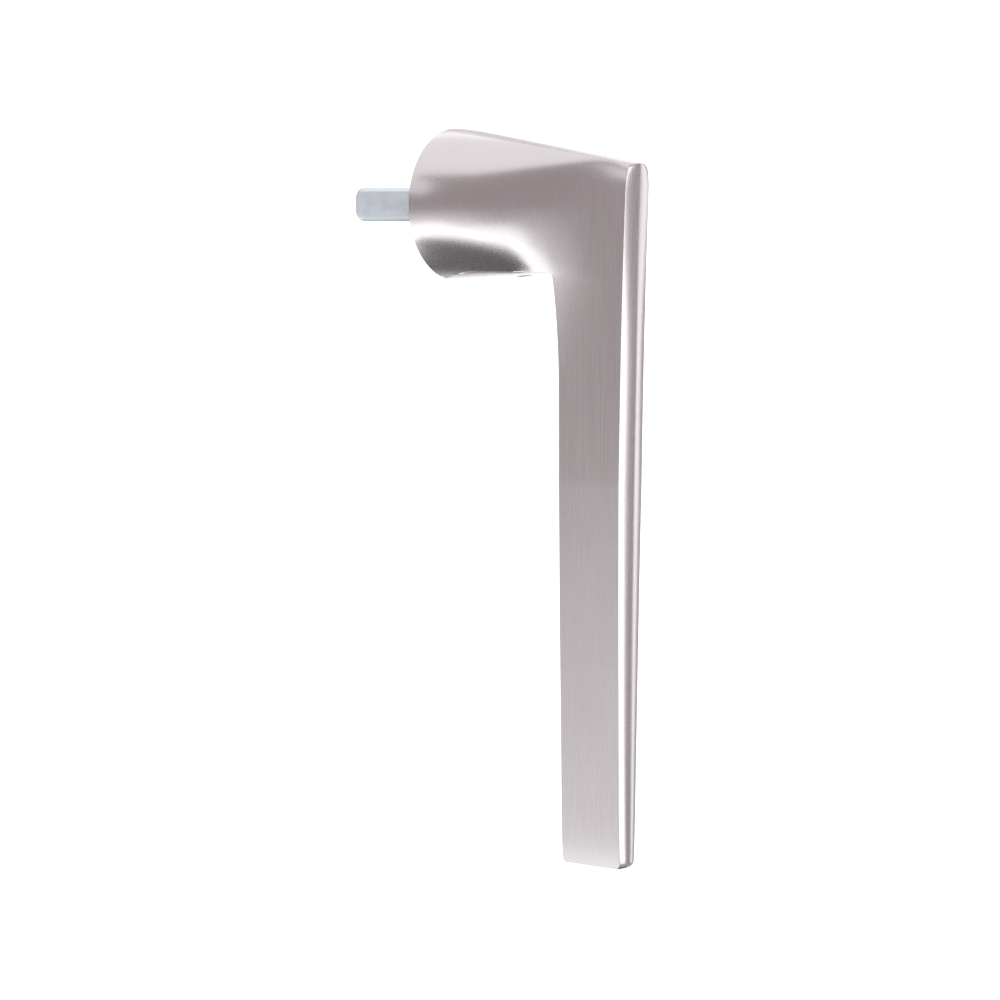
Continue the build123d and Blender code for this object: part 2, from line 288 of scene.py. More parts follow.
def grip_section(share):
    """From the elbow (0) to the free end (1); the sections level out in the first third."""
    z_out = mix(CORNER_Z - CORNER_R, GRIP_END_Z, share)
    z_in = z_out - (CORNER_Z - CORNER_R - INNER_Z + INNER_R) * (1 - ease(share / 0.35))
    return section((front_line(z_out), z_out), (back_line(z_in), z_in), 1.0, ease((share - 0.3) / 0.6))


def circle_like(ring, radius, depth):
    """A round ring at one depth whose points keep the angles of another ring."""
    points = []
    for point in ring:
        angle = math.atan2(point.z, point.x)
        points.append(Vector((radius * MM * math.cos(angle), -depth * MM, radius * MM * math.sin(angle))))
    return points


def square_like(ring, half, depth):
    """A square ring with cut corners whose points keep the angles of another ring."""
    points = []
    for point in ring:
        angle = math.atan2(point.z, point.x)
        flat = half / max(abs(math.cos(angle)), abs(math.sin(angle)))
        reach = min(flat, half * SOCKET_CORNER)
        points.append(Vector((reach * MM * math.cos(angle), -depth * MM, reach * MM * math.sin(angle))))
    return points


def skin(name, rings):
    """Closed mesh through a list of rings, with a fan over the first and the last."""
    mesh = bpy.data.meshes.new(name)
    bm = bmesh.new()
    rows = [[bm.verts.new(point) for point in ring] for ring in rings]
    for one, two in zip(rows, rows[1:]):
        for index in range(len(one)):
            following = (index + 1) % len(one)
            bm.faces.new((one[index], one[following], two[following], two[index]))
    for row in (rows[0], rows[-1]):
        middle = sum((vert.co for vert in row), Vector()) / len(row)
        hub = bm.verts.new(middle)
        for index in range(len(row)):
            bm.faces.new((row[index], row[(index + 1) % len(row)], hub))
    bmesh.ops.remove_doubles(bm, verts=bm.verts, dist=1e-7)
    bmesh.ops.recalc_face_normals(bm, faces=bm.faces)
    bm.to_mesh(mesh)
    bm.free()
    piece = bpy.data.objects.new(name, mesh)
    bpy.context.scene.collection.objects.link(piece)
    return piece


def shade_by_angle(piece, degrees):
    """Smooth shading with sharp edges kept where the surface turns by more than the angle."""
    mesh = piece.data
    mesh.shade_smooth()
    mesh.set_sharp_from_angle(angle=math.radians(degrees))


rim = neck_section(0.0)
rings = [
    square_like(rim, SOCKET_HALF, SOCKET_DEPTH), square_like(rim, SOCKET_HALF, CAVITY_DEPTH),
    circle_like(rim, CAVITY_R, CAVITY_DEPTH), circle_like(rim, CAVITY_R, MOUTH_DEPTH),
    circle_like(rim, MOUTH_R, MOUTH_DEPTH), circle_like(rim, MOUTH_R, RIM_DEPTH + 0.15),
    circle_like(rim, MOUTH_R + 0.15, RIM_DEPTH), circle_like(rim, NECK_R - 0.18, RIM_DEPTH),
]
rings += [neck_section(0.004 + 0.996 * i / 70) for i in range(71)]
rings += [elbow_section(i / 6) for i in range(1, 6)]
END_SHARE = END_CORNER_R / (CORNER_Z - CORNER_R - GRIP_END_Z)
END_ROUND = 0.5                       # rounding all round the free end's underside
rings += [grip_section((1 - END_SHARE) * (i / 130) ** 1.15) for i in range(131)]
rings += [grip_section(1 - END_SHARE * (1 - math.sin(math.pi / 2 * i / 8))) for i in range(1, 8)]
end_ring = rings[-1]
end_middle = sum(end_ring, Vector()) / len(end_ring)
end_half_wide = max(abs(point.x - end_middle.x) for point in end_ring)
end_half_deep = max(abs(point.y - end_middle.y) for point in end_ring)
for turn in (0.2, 0.4, 0.6, 0.8, 1.0):
    inset = END_ROUND * (1 - math.cos(turn * math.pi / 2)) * MM
    rise = END_ROUND * (1 - math.sin(turn * math.pi / 2)) * MM
    row = []
    for point in end_ring:
        out = point - end_middle
        across = out.x * (1 - inset / end_half_wide)
        along = out.y * (1 - inset / end_half_deep)
        row.append(end_middle + Vector((across, along, out.z + rise)))
    rings.append(row)
for point in end_ring:
    point.z += END_ROUND * MM
lever = skin("lever_casting", rings)


def carve(piece, cutter):
    """Takes the cutter's form out of the piece."""
    cut = piece.modifiers.new("cut", "BOOLEAN")
    cut.operation = "DIFFERENCE"
    cut.solver = "EXACT"
    cut.object = cutter
    bpy.context.view_layer.update()
    shaped = bpy.data.meshes.new_from_object(piece.evaluated_get(bpy.context.evaluated_depsgraph_get()))
    piece.modifiers.clear()
    piece.data = shaped
    bpy.data.objects.remove(cutter)


def upright_ring(radius, z, depth, points):
    """A round ring lying level at a height, about a point on the spindle's upright plane."""
    turns = [2 * math.pi * i / points for i in range(points)]
    return [Vector((radius * math.cos(t), radius * math.sin(t) - depth, z)) * MM for t in turns]


SCREW_DEPTH = 20.2                    # tapped hole for the grub screw, up through the neck's underside
HOLE_R = 3.05
SINK_R = 3.45
carve(lever, skin("screw_hole", [
    upright_ring(SINK_R + 0.1, -18.0, SCREW_DEPTH, 64), upright_ring(SINK_R, -14.45, SCREW_DEPTH, 64),
    upright_ring(HOLE_R, -14.05, SCREW_DEPTH, 64), upright_ring(HOLE_R, -5.0, SCREW_DEPTH, 64)]))
shade_by_angle(lever, 38)


def srgb(code):
    """Linear colour of an sRGB hex value."""
    parts = [int(code[i:i + 2], 16) / 255 for i in (1, 3, 5)]
    return [c / 12.92 if c <= 0.04045 else ((c + 0.055) / 1.055) ** 2.4 for c in parts] + [1.0]


def add_node(tree, kind, settings=None, links=None):
    """Adds a node, sets its properties and socket values, and links its inputs."""
    node = tree.nodes.new(kind)
    for key, value in (settings or {}).items():
        if isinstance(key, str) and key in node.bl_rna.properties:
            setattr(node, key, value)
        else:
            node.inputs[key].default_value = value
    for key, source in (links or {}).items():
        tree.links.new(source, node.inputs[key])
    return node


def new_material(name):
    """An empty node material and its tree, with a shader already on the output."""
    material = bpy.data.materials.new(name)
    material.use_nodes = True
    tree = material.node_tree
    shader = tree.nodes["Principled BSDF"]
    return material, tree, shader


def satin_nickel():
    """Satin nickel plate on a linished casting: a soft mirror drawn out into fine upright lines."""
    material, tree, shader = new_material("satin_nickel_plate")
    line = 0.2 * MM                   # spacing of the belt marks
    length = 22 * MM
    place = add_node(tree, "ShaderNodeTexCoord").outputs["Object"]
    stretched = add_node(tree, "ShaderNodeMapping", {"Scale": (1 / line, 1 / line, 1 / length)},
                         {"Vector": place}).outputs["Vector"]
    marks = add_node(tree, "ShaderNodeTexNoise", {"Scale": 1.0, "Detail": 3.0, "Roughness": 0.6},
                     {"Vector": stretched}).outputs["Fac"]
    cloud = add_node(tree, "ShaderNodeTexNoise", {"Scale": 1 / (16 * MM), "Detail": 2.0},
                     {"Vector": place}).outputs["Fac"]
    tone = add_node(tree, "ShaderNodeMix", {"data_type": "RGBA"}, {"Factor": cloud})
    tone.inputs[6].default_value = srgb("#cfcecf")
    tone.inputs[7].default_value = srgb("#d5d3d4")
    streak = add_node(tree, "ShaderNodeMapRange",
                      {"From Min": 0.3, "From Max": 0.7, "To Min": 0.94, "To Max": 1.0},
                      {"Value": marks}).outputs["Result"]
    shade = add_node(tree, "ShaderNodeMix", {"data_type": "RGBA", "blend_type": "MULTIPLY"},
                     {6: tone.outputs[2]})
    shade.inputs["Factor"].default_value = 1.0
    tree.links.new(streak, shade.inputs[7])
    rough = add_node(tree, "ShaderNodeMapRange",
                     {"From Min": 0.25, "From Max": 0.75, "To Min": 0.23, "To Max": 0.29},
                     {"Value": marks}).outputs["Result"]
    relief = add_node(tree, "ShaderNodeBump", {"Strength": 0.05, "Distance": 0.01 * MM},
                      {"Height": marks}).outputs["Normal"]
    shader.inputs["Metallic"].default_value = 1.0
    tree.links.new(shade.outputs[2], shader.inputs["Base Color"])
    tree.links.new(rough, shader.inputs["Roughness"])
    tree.links.new(relief, shader.inputs["Normal"])
    return material


nickel = satin_nickel()
lever.data.materials.append(nickel)
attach(lever, "lever")
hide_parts("lever_body")

# ---------------------------------------------------------------------------
# Spindle: cold drawn 7 mm square bar with broken edges and rounded end corners,
# zinc plated and blue passivated.  A spring pin holds it in the drive sleeve.
# ---------------------------------------------------------------------------


def blue_zinc():
    """Blue passivated zinc: a cool, slightly clouded satin with faint draw marks along the bar."""
    material, tree, shader = new_material("blue_passivated_zinc")
    place = add_node(tree, "ShaderNodeTexCoord").outputs["Object"]
    cloud = add_node(tree, "ShaderNodeTexNoise", {"Scale": 1 / (2.2 * MM), "Detail": 4.0, "Roughness": 0.65},
                     {"Vector": place}).outputs["Fac"]
    drawn = add_node(tree, "ShaderNodeMapping", {"Scale": (1 / (0.3 * MM), 1 / (9 * MM), 1 / (0.3 * MM))},
                     {"Vector": place}).outputs["Vector"]
    marks = add_node(tree, "ShaderNodeTexNoise", {"Scale": 1.0, "Detail": 2.0},
                     {"Vector": drawn}).outputs["Fac"]
    tone = add_node(tree, "ShaderNodeMix", {"data_type": "RGBA"}, {"Factor": cloud})
    tone.inputs[6].default_value = srgb("#cddbe4")
    tone.inputs[7].default_value = srgb("#e8f2f7")
    rough = add_node(tree, "ShaderNodeMapRange",
                     {"From Min": 0.3, "From Max": 0.7, "To Min": 0.4, "To Max": 0.55},
                     {"Value": cloud}).outputs["Result"]
    relief = add_node(tree, "ShaderNodeBump", {"Strength": 0.2, "Distance": 0.01 * MM},
                      {"Height": marks}).outputs["Normal"]
    shader.inputs["Metallic"].default_value = 1.0
    tree.links.new(tone.outputs[2], shader.inputs["Base Color"])
    tree.links.new(rough, shader.inputs["Roughness"])
    tree.links.new(relief, shader.inputs["Normal"])
    return material


def eased_copy(node, name, radius):
    """The node's own shape with its sharp edges softened, as a tumbled or cast part has them."""
    piece = bpy.data.objects.new(name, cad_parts[node].data.copy())
    bpy.context.scene.collection.objects.link(piece)
    bm = bmesh.new()
    bm.from_mesh(piece.data)
    bmesh.ops.remove_doubles(bm, verts=bm.verts, dist=1e-6)
    bmesh.ops.dissolve_limit(bm, angle_limit=math.radians(0.4), verts=bm.verts, edges=bm.edges)
    bm.to_mesh(piece.data)
    bm.free()
    piece.data.materials.clear()
    bevel = piece.modifiers.new("softened", "BEVEL")
    bevel.width = radius * MM
    bevel.segments = 2
    bevel.limit_method = "ANGLE"
    bevel.angle_limit = math.radians(35)
    bevel.use_clamp_overlap = True
    bpy.context.view_layer.update()
    shaped = bpy.data.meshes.new_from_object(piece.evaluated_get(bpy.context.evaluated_depsgraph_get()))
    piece.modifiers.clear()
    piece.data = shaped
    shade_by_angle(piece, 30)
    return piece


spindle = eased_copy("spindle", "square_spindle", 0.12)
spindle.data.materials.append(blue_zinc())
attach(spindle, "lever")
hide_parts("spindle")

# ---------------------------------------------------------------------------
# Mounting base: zinc die casting screwed to the sash through two countersunk
# holes, with a hub that the sleeve turns in and a stop tooth.  Tumbled, not plated.
# ---------------------------------------------------------------------------


def grained(name, low, high, grain, rough, relief, metallic):
    """A surface mottled in colour, gloss and height at the grain's size in mm."""
    material, tree, shader = new_material(name)
    place = add_node(tree, "ShaderNodeTexCoord").outputs["Object"]
    grains = add_node(tree, "ShaderNodeTexNoise",
                      {"Scale": 1 / (grain * MM), "Detail": 5.0, "Roughness": 0.6},
                      {"Vector": place}).outputs["Fac"]
    cloud = add_node(tree, "ShaderNodeTexNoise", {"Scale": 1 / (9 * grain * MM), "Detail": 3.0},
                     {"Vector": place}).outputs["Fac"]
    tone = add_node(tree, "ShaderNodeMix", {"data_type": "RGBA"}, {"Factor": cloud})
    tone.inputs[6].default_value = srgb(low)
    tone.inputs[7].default_value = srgb(high)
    gloss = add_node(tree, "ShaderNodeMapRange",
                     {"From Min": 0.3, "From Max": 0.7, "To Min": rough * 0.85, "To Max": rough * 1.15},
                     {"Value": grains}).outputs["Result"]
    bump = add_node(tree, "ShaderNodeBump", {"Strength": relief, "Distance": 0.02 * MM},
                    {"Height": grains}).outputs["Normal"]
    shader.inputs["Metallic"].default_value = metallic
    tree.links.new(tone.outputs[2], shader.inputs["Base Color"])
    tree.links.new(gloss, shader.inputs["Roughness"])
    tree.links.new(bump, shader.inputs["Normal"])
    return material


def fit(piece, material, body, node):
    """Dresses a finished piece and hands it to its body in its node's place."""
    piece.data.materials.clear()
    piece.data.materials.append(material)
    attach(piece, body)
    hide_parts(node)


# dull blue-grey casting with cloudy flow marks and a fine tumbled grain
cast_zinc = grained("tumbled_zinc_casting", "#9a9fa5", "#b6babd", 0.25, 0.45, 0.25, 1.0)
fit(eased_copy("base_mount", "screwed_base", 0.12), cast_zinc, "base", "base_mount")

# ---------------------------------------------------------------------------
# Drive sleeve: free-cutting steel, turned and broached, left bright.  Its round
# part turns in the hub and its square end sits in the lever's socket.
# ---------------------------------------------------------------------------


def turned(name, low, high, feed, rough):
    """Lathe-turned steel: fine rings round the axis at the tool's feed in mm."""
    material, tree, shader = new_material(name)
    place = add_node(tree, "ShaderNodeTexCoord").outputs["Object"]
    parts = add_node(tree, "ShaderNodeSeparateXYZ", {}, {"Vector": place})
    flat = add_node(tree, "ShaderNodeCombineXYZ", {}, {"X": parts.outputs["X"], "Y": parts.outputs["Z"]})
    radius = add_node(tree, "ShaderNodeVectorMath", {"operation": "LENGTH"}, {0: flat.outputs["Vector"]})
    rings = add_node(tree, "ShaderNodeCombineXYZ", {},
                     {"X": radius.outputs["Value"], "Y": parts.outputs["Y"]})
    marks = add_node(tree, "ShaderNodeTexNoise", {"Scale": 1 / (feed * MM), "Detail": 3.0},
                     {"Vector": rings.outputs["Vector"]}).outputs["Fac"]
    tone = add_node(tree, "ShaderNodeMix", {"data_type": "RGBA"}, {"Factor": marks})
    tone.inputs[6].default_value = srgb(low)
    tone.inputs[7].default_value = srgb(high)
    gloss = add_node(tree, "ShaderNodeMapRange",
                     {"From Min": 0.3, "From Max": 0.7, "To Min": rough * 0.8, "To Max": rough * 1.2},
                     {"Value": marks}).outputs["Result"]
    bump = add_node(tree, "ShaderNodeBump", {"Strength": 0.3, "Distance": 0.01 * MM},
                    {"Height": marks}).outputs["Normal"]
    shader.inputs["Metallic"].default_value = 1.0
    tree.links.new(tone.outputs[2], shader.inputs["Base Color"])
    tree.links.new(gloss, shader.inputs["Roughness"])
    tree.links.new(bump, shader.inputs["Normal"])
    return material


# bright steel, light with darker tool rings
bright_steel = turned("turned_bright_steel", "#a8a6a2", "#c9c7c3", 0.15, 0.3)
fit(eased_copy("drive_sleeve", "flanged_sleeve", 0.1), bright_steel, "lever", "drive_sleeve")

# ---------------------------------------------------------------------------
# Detent ring and its two dowels: carbon steel, hardened and ground.  The ring is
# pinned to the sleeve's flange and its notches catch the balls at each quarter turn.
# ---------------------------------------------------------------------------
# ground steel a shade darker than the sleeve, with a faint straw tint from hardening
hard_steel = turned("hardened_ground_steel", "#8d8a84", "#a9a59d", 0.08, 0.25)
fit(eased_copy("detent_ring", "notched_ring", 0.08), hard_steel, "lever", "detent_ring")
fit(eased_copy("ring_dowels", "dowel_pair", 0.06), hard_steel, "lever", "ring_dowels")

# ---------------------------------------------------------------------------
# Detent balls: two ground bearing balls in the hub's pockets, pressed against the
# ring by their springs.
# ---------------------------------------------------------------------------
# mirror-bright ball steel with only a breath of haze
ball_steel = grained("polished_ball_steel", "#c2c0bd", "#cfcecb", 0.4, 0.12, 0.02, 1.0)
BALL_RINGS = 32
for side in ("upper", "lower"):
    low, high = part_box("detent_ball_" + side)
    middle = (low + high) / 2
    radius = (high.z - low.z) / 2
    mesh = bpy.data.meshes.new("ball_" + side)
    bm = bmesh.new()
    bmesh.ops.create_uvsphere(bm, u_segments=2 * BALL_RINGS, v_segments=BALL_RINGS, radius=radius)
    bmesh.ops.translate(bm, verts=bm.verts, vec=middle)
    bm.to_mesh(mesh)
    bm.free()
    mesh.shade_smooth()
    ball = bpy.data.objects.new("click_ball_" + side, mesh)
    bpy.context.scene.collection.objects.link(ball)
    fit(ball, ball_steel, side + "_ball", "detent_ball_" + side)

# ---------------------------------------------------------------------------
# Detent springs: six turns of patented spring wire with closed ends, one in each
# pocket of the hub behind its ball.
# ---------------------------------------------------------------------------
WIRE_R = 0.18
COIL_TURNS = 6.0


def coil_tree(material):
    """Compression spring standing on Z=0: a closed turn at each end and open turns between."""
    tree = bpy.data.node_groups.new("compression_spring", "GeometryNodeTree")
    for name in ("Height", "Coil Radius", "Wire Radius", "Turns"):
        tree.interface.new_socket(name, in_out="INPUT", socket_type="NodeSocketFloat")
    tree.interface.new_socket("Geometry", in_out="OUTPUT", socket_type="NodeSocketGeometry")
    given = add_node(tree, "NodeGroupInput").outputs

    spiral = add_node(tree, "GeometryNodeCurveSpiral", {"Resolution": 40, "Height": 0.0}, {
        "Rotations": given["Turns"],
        "Start Radius": given["Coil Radius"],
        "End Radius": given["Coil Radius"]})
    place = add_node(tree, "GeometryNodeSplineParameter").outputs["Factor"]
    along = add_node(tree, "ShaderNodeMath", {"operation": "MULTIPLY"},
                     {0: place, 1: given["Turns"]}).outputs[0]
    wire = add_node(tree, "ShaderNodeMath", {"operation": "MULTIPLY", 1: 2.0},
                    {0: given["Wire Radius"]}).outputs[0]
    first = add_node(tree, "ShaderNodeMath", {"operation": "MINIMUM", 1: 1.0}, {0: along}).outputs[0]
    last_starts = add_node(tree, "ShaderNodeMath", {"operation": "SUBTRACT", 1: 1.0},
                           {0: given["Turns"]}).outputs[0]
    past = add_node(tree, "ShaderNodeMath", {"operation": "SUBTRACT"}, {0: along, 1: last_starts}).outputs[0]
    last = add_node(tree, "ShaderNodeMath", {"operation": "MAXIMUM", 1: 0.0}, {0: past}).outputs[0]
    after_first = add_node(tree, "ShaderNodeMath", {"operation": "SUBTRACT"}, {0: along, 1: first}).outputs[0]
    open_turns = add_node(tree, "ShaderNodeMath", {"operation": "SUBTRACT"},
                          {0: after_first, 1: last}).outputs[0]
    solid = add_node(tree, "ShaderNodeMath", {"operation": "MULTIPLY", 1: 3.0}, {0: wire}).outputs[0]
    free = add_node(tree, "ShaderNodeMath", {"operation": "SUBTRACT"},
                    {0: given["Height"], 1: solid}).outputs[0]
    working = add_node(tree, "ShaderNodeMath", {"operation": "SUBTRACT", 1: 2.0},
                       {0: given["Turns"]}).outputs[0]
    pitch = add_node(tree, "ShaderNodeMath", {"operation": "DIVIDE"}, {0: free, 1: working}).outputs[0]
    ends = add_node(tree, "ShaderNodeMath", {"operation": "ADD"}, {0: first, 1: last}).outputs[0]
    closed = add_node(tree, "ShaderNodeMath", {"operation": "MULTIPLY"}, {0: ends, 1: wire}).outputs[0]
    foot = add_node(tree, "ShaderNodeMath", {"operation": "ADD"},
                    {0: closed, 1: given["Wire Radius"]}).outputs[0]
    climb = add_node(tree, "ShaderNodeMath", {"operation": "MULTIPLY"}, {0: open_turns, 1: pitch}).outputs[0]
    rise = add_node(tree, "ShaderNodeMath", {"operation": "ADD"}, {0: foot, 1: climb}).outputs[0]
    lift = add_node(tree, "ShaderNodeCombineXYZ", {}, {"Z": rise}).outputs["Vector"]
    raised = add_node(tree, "GeometryNodeSetPosition", {},
                      {"Geometry": spiral.outputs["Curve"], "Offset": lift})
    round_wire = add_node(tree, "GeometryNodeCurvePrimitiveCircle", {"Resolution": 12},
                          {"Radius": given["Wire Radius"]})
    coil = add_node(tree, "GeometryNodeCurveToMesh", {"Fill Caps": True}, {
        "Curve": raised.outputs["Geometry"], "Profile Curve": round_wire.outputs["Curve"]})
    real = add_node(tree, "GeometryNodeRealizeInstances", {}, {"Geometry": coil.outputs["Mesh"]})
    dressed = add_node(tree, "GeometryNodeSetMaterial", {"Material": material},
                       {"Geometry": real.outputs["Geometry"]})
    add_node(tree, "NodeGroupOutput", {}, {"Geometry": dressed.outputs["Geometry"]})
    return tree


def grown(name, tree, values):
    """A plain mesh object made by a node tree from its named inputs."""
    piece = bpy.data.objects.new(name, bpy.data.meshes.new(name))
    bpy.context.scene.collection.objects.link(piece)
    grow = piece.modifiers.new("grow", "NODES")
    grow.node_group = tree
    for item in tree.interface.items_tree:
        if item.item_type == "SOCKET" and item.in_out == "INPUT":
            grow[item.identifier] = values[item.name]
    bpy.context.view_layer.update()
    made = bpy.data.meshes.new_from_object(piece.evaluated_get(bpy.context.evaluated_depsgraph_get()))
    piece.modifiers.clear()
    piece.data = made
    return piece


# bright drawn wire, grey with a slight sheen
spring_wire = grained("drawn_spring_wire", "#8f9194", "#a7a8aa", 0.12, 0.32, 0.1, 1.0)
coil = coil_tree(spring_wire)
for side in ("upper", "lower"):
    low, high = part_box("detent_spring_" + side)
    spring = grown("click_spring_" + side, coil, {
        "Height": high.y - low.y, "Coil Radius": (high.x - low.x) / 2 - WIRE_R * MM,
        "Wire Radius": WIRE_R * MM, "Turns": COIL_TURNS})
    lay = Matrix.Translation((0, high.y, (low.z + high.z) / 2)) @ Matrix.Rotation(math.pi / 2, 4, "X")
    spring.data.transform(lay)
    spring.data.shade_smooth()
    middle = (low.z + high.z) / 2
    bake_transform(spring)
    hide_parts("detent_spring_" + side)

# ---------------------------------------------------------------------------
# Roll pin and retaining ring: rolled and stamped spring steel, phosphated dark.
# The pin locks the spindle in the sleeve, the ring keeps the sleeve in the base.
# ---------------------------------------------------------------------------
# dark grey phosphate with a dry, slightly oily grain
phosphated = grained("phosphated_spring_steel", "#3d3e40", "#505153", 0.1, 0.5, 0.15, 1.0)
fit(eased_copy("roll_pin", "slotted_pin", 0.05), phosphated, "lever", "roll_pin")
fit(eased_copy("retaining_ring", "spring_clip", 0.06), phosphated, "lever", "retaining_ring")

# ---------------------------------------------------------------------------
# Thrust washer: a plain steel washer, turned and left bright.  It sits loose on the
# sleeve under the retaining ring and rubs on the back of the base.
# ---------------------------------------------------------------------------
fit(eased_copy("thrust_washer", "flat_washer", 0.05), bright_steel, "lever", "thrust_washer")

# ---------------------------------------------------------------------------
# Bushes and glide ring: moulded acetal, natural white.  Two bushes carry the
# sleeve in the hub and a thin ring keeps the lever off the base plate.
# ---------------------------------------------------------------------------
# milky white plastic with a soft moulded sheen
acetal = grained("natural_acetal", "#dedcd4", "#e8e6df", 0.5, 0.45, 0.05, 0.0)
fit(eased_copy("front_bush", "hub_bush_front", 0.08), acetal, "base", "front_bush")
fit(eased_copy("back_bush", "hub_bush_back", 0.08), acetal, "base", "back_bush")
fit(eased_copy("glide_ring", "lever_glide", 0.05), acetal, "lever", "glide_ring")

# ---------------------------------------------------------------------------
# Grub screw: M6 alloy steel set screw with a hexagon socket, rolled thread, black
# oxide.  It clamps the lever on the sleeve's square end from below.
# ---------------------------------------------------------------------------
SCREW_R = 2.98
PITCH = 1.0
THREAD_DEEP = 0.45
KEY_R = 1.73
KEY_DEEP = 3.2


def thread_tree(material):
    """A threaded bar centred on the origin along Z, run out to its root at both ends."""
    tree = bpy.data.node_groups.new("rolled_thread", "GeometryNodeTree")
    for name in ("Length", "Radius", "Pitch", "Thread Depth"):
        tree.interface.new_socket(name, in_out="INPUT", socket_type="NodeSocketFloat")
    tree.interface.new_socket("Geometry", in_out="OUTPUT", socket_type="NodeSocketGeometry")
    given = add_node(tree, "NodeGroupInput").outputs

    blank = add_node(tree, "GeometryNodeMeshCylinder", {"Vertices": 72, "Side Segments": 96},
                     {"Radius": given["Radius"], "Depth": given["Length"]})
    at = add_node(tree, "ShaderNodeSeparateXYZ", {},
                  {"Vector": add_node(tree, "GeometryNodeInputPosition").outputs["Position"]}).outputs
    angle = add_node(tree, "ShaderNodeMath", {"operation": "ARCTAN2"}, {0: at["Y"], 1: at["X"]}).outputs[0]
    turn = add_node(tree, "ShaderNodeMath", {"operation": "DIVIDE", 1: 2 * math.pi}, {0: angle}).outputs[0]
    climb = add_node(tree, "ShaderNodeMath", {"operation": "DIVIDE"},
                     {0: at["Z"], 1: given["Pitch"]}).outputs[0]
    phase = add_node(tree, "ShaderNodeMath", {"operation": "SUBTRACT"}, {0: climb, 1: turn}).outputs[0]
    zigzag = add_node(tree, "ShaderNodeMath", {"operation": "PINGPONG", 1: 0.5}, {0: phase}).outputs[0]
    flank = add_node(tree, "ShaderNodeMath", {"operation": "MULTIPLY", 1: 2.0}, {0: zigzag}).outputs[0]
    height = add_node(tree, "ShaderNodeMath", {"operation": "ABSOLUTE"}, {0: at["Z"]}).outputs[0]
    half = add_node(tree, "ShaderNodeMath", {"operation": "MULTIPLY", 1: 0.5},
                    {0: given["Length"]}).outputs[0]
    to_end = add_node(tree, "ShaderNodeMath", {"operation": "SUBTRACT"}, {0: half, 1: height}).outputs[0]
    threads_in = add_node(tree, "ShaderNodeMath", {"operation": "DIVIDE"},
                          {0: to_end, 1: given["Thread Depth"]}).outputs[0]
    full = add_node(tree, "ShaderNodeMath", {"operation": "MINIMUM", 1: 1.0}, {0: threads_in}).outputs[0]
    run_out = add_node(tree, "ShaderNodeMath", {"operation": "SUBTRACT", 0: 1.0}, {1: full}).outputs[0]
    groove = add_node(tree, "ShaderNodeMath", {"operation": "MAXIMUM"}, {0: flank, 1: run_out}).outputs[0]
    deep = add_node(tree, "ShaderNodeMath", {"operation": "MULTIPLY"},
                    {0: groove, 1: given["Thread Depth"]}).outputs[0]
    share = add_node(tree, "ShaderNodeMath", {"operation": "DIVIDE"},
                     {0: deep, 1: given["Radius"]}).outputs[0]
    shrink = add_node(tree, "ShaderNodeMath", {"operation": "MULTIPLY", 1: -1.0}, {0: share}).outputs[0]
    outward = add_node(tree, "ShaderNodeCombineXYZ", {}, {"X": at["X"], "Y": at["Y"]}).outputs["Vector"]
    inward = add_node(tree, "ShaderNodeVectorMath", {"operation": "SCALE"},
                      {"Vector": outward, "Scale": shrink}).outputs["Vector"]
    cut = add_node(tree, "GeometryNodeSetPosition", {},
                   {"Geometry": blank.outputs["Mesh"], "Offset": inward})
    real = add_node(tree, "GeometryNodeRealizeInstances", {}, {"Geometry": cut.outputs["Geometry"]})
    dressed = add_node(tree, "GeometryNodeSetMaterial", {"Material": material},
                       {"Geometry": real.outputs["Geometry"]})
    add_node(tree, "NodeGroupOutput", {}, {"Geometry": dressed.outputs["Geometry"]})
    return tree


# near-black oxide with an oily semi-gloss
black_oxide = grained("black_oxide_steel", "#26272a", "#333438", 0.15, 0.36, 0.1, 1.0)
low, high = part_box("grub_screw")
grub = grown("set_screw", thread_tree(black_oxide), {
    "Length": high.z - low.z, "Radius": SCREW_R * MM, "Pitch": PITCH * MM, "Thread Depth": THREAD_DEEP * MM})
grub.data.transform(Matrix.Translation((low + high) / 2))
carve(grub, skin("key_socket", [
    upright_ring(KEY_R, height, SCREW_DEPTH, 6) for height in (low.z / MM - 1, low.z / MM + KEY_DEEP)]))
shade_by_angle(grub, 30)
fit(grub, black_oxide, "lever", "grub_screw")

# ---------------------------------------------------------------------------
# Studio: a pale floor, a lit paper wall behind, and soft panels above, beside and
# below that the camera doesn't see.  A long lens stands level with the neck.
# ---------------------------------------------------------------------------
scene = bpy.context.scene
scene.view_settings.view_transform = "Standard"
VIEW_TURN = math.radians(-51.5)
VIEW_DISTANCE = 0.710
VIEW_DIP = math.radians(4.88)         # the lens looks down past the neck to the middle of the grip
VIEW_ASIDE = math.radians(0.745)
FOCAL = 124.6
toward = Vector((math.sin(VIEW_TURN), -math.cos(VIEW_TURN), 0))
camera_data = bpy.data.cameras.new("camera")
camera_data.lens = FOCAL
camera = bpy.data.objects.new("camera", camera_data)
camera.location = toward * VIEW_DISTANCE
camera.rotation_euler = (math.radians(90) - VIEW_DIP, 0, VIEW_TURN - VIEW_ASIDE)
scene.collection.objects.link(camera)
scene.camera = camera


def plain(name, code, rough):
    """A flat, even paper or card of the set."""
    material, _, shader = new_material(name)
    shader.inputs["Base Color"].default_value = srgb(code)
    shader.inputs["Roughness"].default_value = rough
    return material


FLOOR_Z = cad_box[0].z - 0.55
across = Vector((toward.y, -toward.x, 0))


